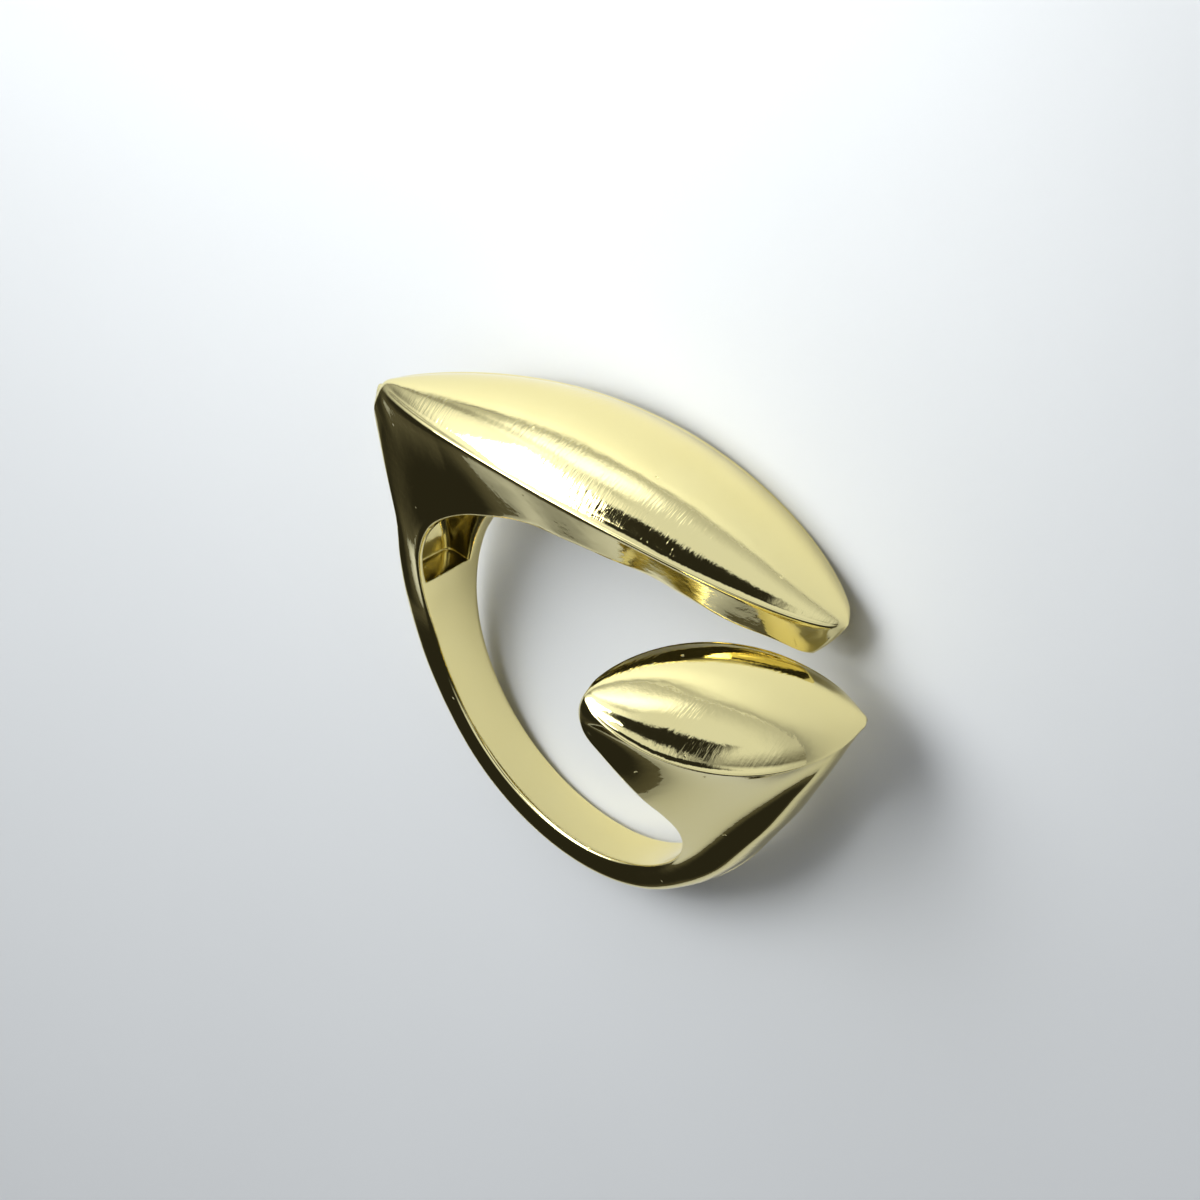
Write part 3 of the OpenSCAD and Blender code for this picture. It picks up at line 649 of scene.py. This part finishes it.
def nodes_of(material):
    """An empty node tree with an output and a Principled shader joined up."""
    material.use_nodes = True
    tree = material.node_tree
    tree.nodes.clear()
    out = tree.nodes.new("ShaderNodeOutputMaterial")
    shader = tree.nodes.new("ShaderNodeBsdfPrincipled")
    tree.links.new(shader.outputs[0], out.inputs[0])
    return tree, shader


def node(tree, kind, links=(), **values):
    """A node with its settings, and its inputs linked or set by name or number."""
    made = tree.nodes.new(kind)
    for key, value in values.items():
        setattr(made, key, value)
    for key, value in links:
        if isinstance(value, bpy.types.NodeSocket):
            tree.links.new(value, made.inputs[key])
        else:
            made.inputs[key].default_value = value
    return made


def polished_gold(finish):
    """Pale gold plating: polished domes and walls with fine polishing lines, a duller cast hollow."""
    material = bpy.data.materials.new("pale_gold_plating")
    tree, shader = nodes_of(material)
    place = node(tree, "ShaderNodeTexCoord").outputs["Object"]
    dome = node(tree, "ShaderNodeAttribute", attribute_name="dome").outputs["Fac"]
    hollow = node(tree, "ShaderNodeAttribute", attribute_name="hollow").outputs["Fac"]
    shader.inputs["Metallic"].default_value = 1.0
    cloud = node(tree, "ShaderNodeTexNoise", [("Vector", place), ("Scale", 260.0), ("Detail", 3.0)])
    tint = node(tree, "ShaderNodeMix", [("Factor", cloud.outputs["Fac"]), ("A", (*finish.gold, 1)),
        ("B", (finish.gold[0] * 0.97, finish.gold[1] * 0.95, finish.gold[2] * 0.86, 1))], data_type="RGBA")
    tree.links.new(tint.outputs["Result"], shader.inputs["Base Color"])
    grain = node(tree, "ShaderNodeTexNoise", [("Vector", place), ("Scale", 2400.0), ("Detail", 4.0)])
    rough = node(tree, "ShaderNodeMapRange", [("Value", grain.outputs["Fac"]), ("From Min", 0.3),
        ("From Max", 0.75), ("To Min", finish.roughness * 0.8), ("To Max", finish.roughness * 1.3)])
    both = node(tree, "ShaderNodeMix", [("Factor", hollow), ("A", rough.outputs[0]),
        ("B", finish.cast_roughness)], data_type="FLOAT")
    tree.links.new(both.outputs["Result"], shader.inputs["Roughness"])
    ripple = node(tree, "ShaderNodeTexNoise", [("Vector", place), ("Scale", 420.0), ("Detail", 5.0),
        ("Roughness", 0.55)])
    lines = node(tree, "ShaderNodeMapping", [("Vector", place), ("Rotation", (0.0, 0.0, 0.45)),
        ("Scale", (9000.0, 900.0, 1400.0))])
    hair = node(tree, "ShaderNodeTexNoise", [("Vector", lines.outputs[0]), ("Scale", 1.0), ("Detail", 2.0)])
    patch = node(tree, "ShaderNodeTexNoise", [("Vector", place), ("Scale", 190.0), ("Detail", 2.0)])
    worn = node(tree, "ShaderNodeMapRange", [("Value", patch.outputs["Fac"]), ("From Min", 0.44),
        ("From Max", 0.62)])
    worn_dome = node(tree, "ShaderNodeMath", [(0, worn.outputs[0]), (1, dome)], operation="MULTIPLY")
    hair_dome = node(tree, "ShaderNodeMath", [(0, hair.outputs["Fac"]), (1, worn_dome.outputs[0])],
        operation="MULTIPLY")
    spots = node(tree, "ShaderNodeTexVoronoi", [("Vector", place), ("Scale", 800.0)])
    dent = node(tree, "ShaderNodeMapRange", [("Value", spots.outputs["Distance"]), ("From Min", 0.03),
        ("From Max", 0.08)])
    few = node(tree, "ShaderNodeMath", [(0, spots.outputs["Color"]), (1, 0.42)], operation="LESS_THAN")
    pits = node(tree, "ShaderNodeMath", [(0, dent.outputs[0]), (1, few.outputs[0])], operation="MAXIMUM")
    bump = node(tree, "ShaderNodeBump", [("Height", ripple.outputs["Fac"]), ("Strength", 0.14),
        ("Distance", 0.0002)])
    fine = node(tree, "ShaderNodeBump", [("Height", hair_dome.outputs[0]), ("Strength", 0.6),
        ("Distance", 0.00004), ("Normal", bump.outputs[0])])
    pitted = node(tree, "ShaderNodeBump", [("Height", pits.outputs[0]), ("Strength", 0.5),
        ("Distance", 0.00004), ("Normal", fine.outputs[0])])
    tree.links.new(pitted.outputs[0], shader.inputs["Normal"])
    return material


def pale_floor(look):
    """Matt pale floor with a faint cloudiness."""
    material = bpy.data.materials.new("pale_floor")
    tree, shader = nodes_of(material)
    place = node(tree, "ShaderNodeTexCoord").outputs["Object"]
    cloud = node(tree, "ShaderNodeTexNoise", [("Vector", place), ("Scale", 60.0), ("Detail", 5.0)])
    tint = node(tree, "ShaderNodeMix", [("Factor", cloud.outputs["Fac"]), ("A", (*look.floor, 1)),
        ("B", (*[c * 0.96 for c in look.floor], 1))], data_type="RGBA")
    tree.links.new(tint.outputs["Result"], shader.inputs["Base Color"])
    shader.inputs["Roughness"].default_value = 0.8
    shader.inputs["Specular IOR Level"].default_value = 0.2
    return material


def studio_air(look):
    """Air of the studio: bright on the heads' side and overhead, dim behind, as in an open light tent.

    The bright side fades towards the floor, and the dim air grows a little lighter there. A narrow dark gap
    crosses the bright side, and a faint seam lies below it to the left. A soft glow lies low on the bright
    side, and a fainter halo lies round the top softbox.
    """
    world = bpy.data.worlds.new("studio_air")
    world.use_nodes = True
    tree = world.node_tree
    tree.nodes.clear()
    out = tree.nodes.new("ShaderNodeOutputWorld")
    air = tree.nodes.new("ShaderNodeBackground")
    tree.links.new(air.outputs[0], out.inputs[0])
    way = node(tree, "ShaderNodeTexCoord").outputs["Generated"]

    def step(towards, nothing, all_of_it):
        """A smooth step from 0 at one share along a direction to 1 at another."""
        along = node(tree, "ShaderNodeVectorMath", [(0, way), (1, towards)], operation="DOT_PRODUCT")
        return node(tree, "ShaderNodeMapRange", [("Value", along.outputs["Value"]), ("From Min", nothing),
            ("From Max", all_of_it)], interpolation_type="SMOOTHSTEP").outputs[0]

    def together(kind, *values):
        """Values joined by one kind of sum, one after the other."""
        joined = values[0]
        for value in values[1:]:
            joined = node(tree, "ShaderNodeMath", [(0, joined), (1, value)], operation=kind).outputs[0]
        return joined

    def mixed(factor, first, second):
        """A colour between two, by the factor."""
        return node(tree, "ShaderNodeMix", [("Factor", factor), ("A", first), ("B", second)],
            data_type="RGBA").outputs["Result"]

    above = step(*ABOVE)
    from_floor = node(tree, "ShaderNodeMapRange", [("Value", above), ("To Min", SIDE_LEAST)])
    side = together("MULTIPLY", step(*SIDE), from_floor.outputs[0])
    gap = together("MULTIPLY", *[step(*row) for row in GAP])
    seam = together("MULTIPLY", *[step(*row) for row in SEAM], SEAM_SHARE)
    open_air = together("SUBTRACT", 1.0, together("MAXIMUM", gap, seam))
    lit = together("MULTIPLY", together("MAXIMUM", side, step(*OVERHEAD)), open_air)
    behind = mixed(step(*BEHIND), (*look.dim, 1), (*[BEHIND_LIFT * c for c in look.dim], 1))
    glow = together("MULTIPLY", step(*GLOW), above)
    halo = together("MULTIPLY", step(*HALO), HALO_SHARE)
    glowing = mixed(together("MULTIPLY", together("MAXIMUM", glow, halo), open_air),
        mixed(lit, behind, (*look.bright, 1)), (*look.glow, 1))
    tree.links.new(glowing, air.inputs["Color"])
    return world


def lay_matrix():
    """The turn that lays the ring down, without its move."""
    return (Matrix.Rotation(math.radians(LAY_TURN[1]), 3, "Y")
        @ Matrix.Rotation(math.radians(LAY_TURN[0]), 3, "X"))


def softbox(name, power, place, aim, size, spread):
    """An area light at a place, facing a point on the floor, its beam held to the spread."""
    light = bpy.data.lights.new(name, "AREA")
    light.shape = "RECTANGLE"
    light.size, light.size_y = size
    light.energy = power
    light.spread = math.radians(spread)
    light.color = LAMP_COLOUR
    made = bpy.data.objects.new(name, light)
    made.location = place
    made.rotation_euler = (Vector(place) - Vector(aim)).to_track_quat("Z", "Y").to_euler()
    bpy.context.scene.collection.objects.link(made)


def photo_camera():
    """The camera at the photo's angle to the ring, turned with the ring as it is laid down."""
    turn = lay_matrix()
    rise, around = math.radians(CAMERA_RISE), math.radians(CAMERA_TURN)
    right = turn @ Vector((math.cos(around), 0, -math.sin(around)))
    back = turn @ Vector((math.cos(rise) * math.sin(around), math.sin(rise),
        math.cos(rise) * math.cos(around)))
    up = back.cross(right)
    eye = (VIEW_RIGHT * right + VIEW_UP * up + CAMERA_BACK * back + Vector(LAY_MOVE)) * MM
    lens = bpy.data.cameras.new("camera")
    lens.sensor_width = SENSOR_WIDTH
    lens.lens = SENSOR_WIDTH * CAMERA_BACK / VIEW_WIDTH
    lens.clip_start, lens.clip_end = NEAREST_SEEN, FARTHEST_SEEN
    camera = bpy.data.objects.new("camera", lens)
    camera.matrix_world = Matrix((
        (right.x, up.x, back.x, eye.x), (right.y, up.y, back.y, eye.y),
        (right.z, up.z, back.z, eye.z), (0, 0, 0, 1)))
    return camera


class RING_OT_metal(bpy.types.Operator):
    """Build the polished ring in place of the plain one"""

    bl_idname = "ring.metal"
    bl_label = "Ring"
    bl_options = {"UNDO"}

    def execute(self, context):
        scene = context.scene
        mesh = ring_mesh("leaf_head_ring", scene.ring_sizes)
        mesh.materials.append(polished_gold(scene.ring_finish))
        made = bpy.data.objects.new("leaf_head_ring", mesh)
        scene.collection.objects.link(made)
        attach(made, "root")
        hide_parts("ring")
        return {"FINISHED"}


class RING_OT_studio(bpy.types.Operator):
    """Build the floor, the soft lights and the camera"""

    bl_idname = "ring.studio"
    bl_label = "Studio"
    bl_options = {"UNDO"}

    def execute(self, context):
        scene = context.scene
        look = scene.ring_studio
        mesh = bpy.data.meshes.new("floor")
        mesh.from_pydata([(x * FLOOR_HALF, y * FLOOR_HALF, 0) for x, y in
            ((-1, -1), (1, -1), (1, 1), (-1, 1))], [], [(0, 1, 2, 3)])
        mesh.materials.append(pale_floor(look))
        floor = bpy.data.objects.new("floor", mesh)
        scene.collection.objects.link(floor)
        scene.world = studio_air(look)
        softbox("top_softbox", look.top_power, **TOP_BOX)
        softbox("pool_softbox", look.pool_power, **POOL_BOX)
        softbox("far_softbox", look.far_power, **FAR_BOX)
        scene.view_settings.view_transform = "Standard"
        scene.view_settings.look = "None"
        camera = photo_camera()
        scene.collection.objects.link(camera)
        scene.camera = camera
        return {"FINISHED"}


class RING_PT_panel(bpy.types.Panel):
    """Ring settings in the 3D view's sidebar"""

    bl_idname = "RING_PT_panel"
    bl_label = "Ring"
    bl_space_type = "VIEW_3D"
    bl_region_type = "UI"
    bl_category = "Ring"

    def draw(self, context):
        for group in (context.scene.ring_sizes, context.scene.ring_finish, context.scene.ring_studio):
            box = self.layout.box()
            for key in group.__annotations__:
                box.prop(group, key)
        self.layout.operator(RING_OT_metal.bl_idname)
        self.layout.operator(RING_OT_studio.bl_idname)


CLASSES = (RingSizes, RingFinish, StudioLook, RING_OT_metal, RING_OT_studio, RING_PT_panel)


def register():
    for made in CLASSES:
        bpy.utils.register_class(made)
    bpy.types.Scene.ring_sizes = PointerProperty(type=RingSizes)
    bpy.types.Scene.ring_finish = PointerProperty(type=RingFinish)
    bpy.types.Scene.ring_studio = PointerProperty(type=StudioLook)


def unregister():
    del bpy.types.Scene.ring_studio, bpy.types.Scene.ring_finish, bpy.types.Scene.ring_sizes
    for made in reversed(CLASSES):
        bpy.utils.unregister_class(made)


def main():
    register()
    bpy.ops.ring.metal()
    bpy.ops.ring.studio()


if __name__ == "__main__":
    main()
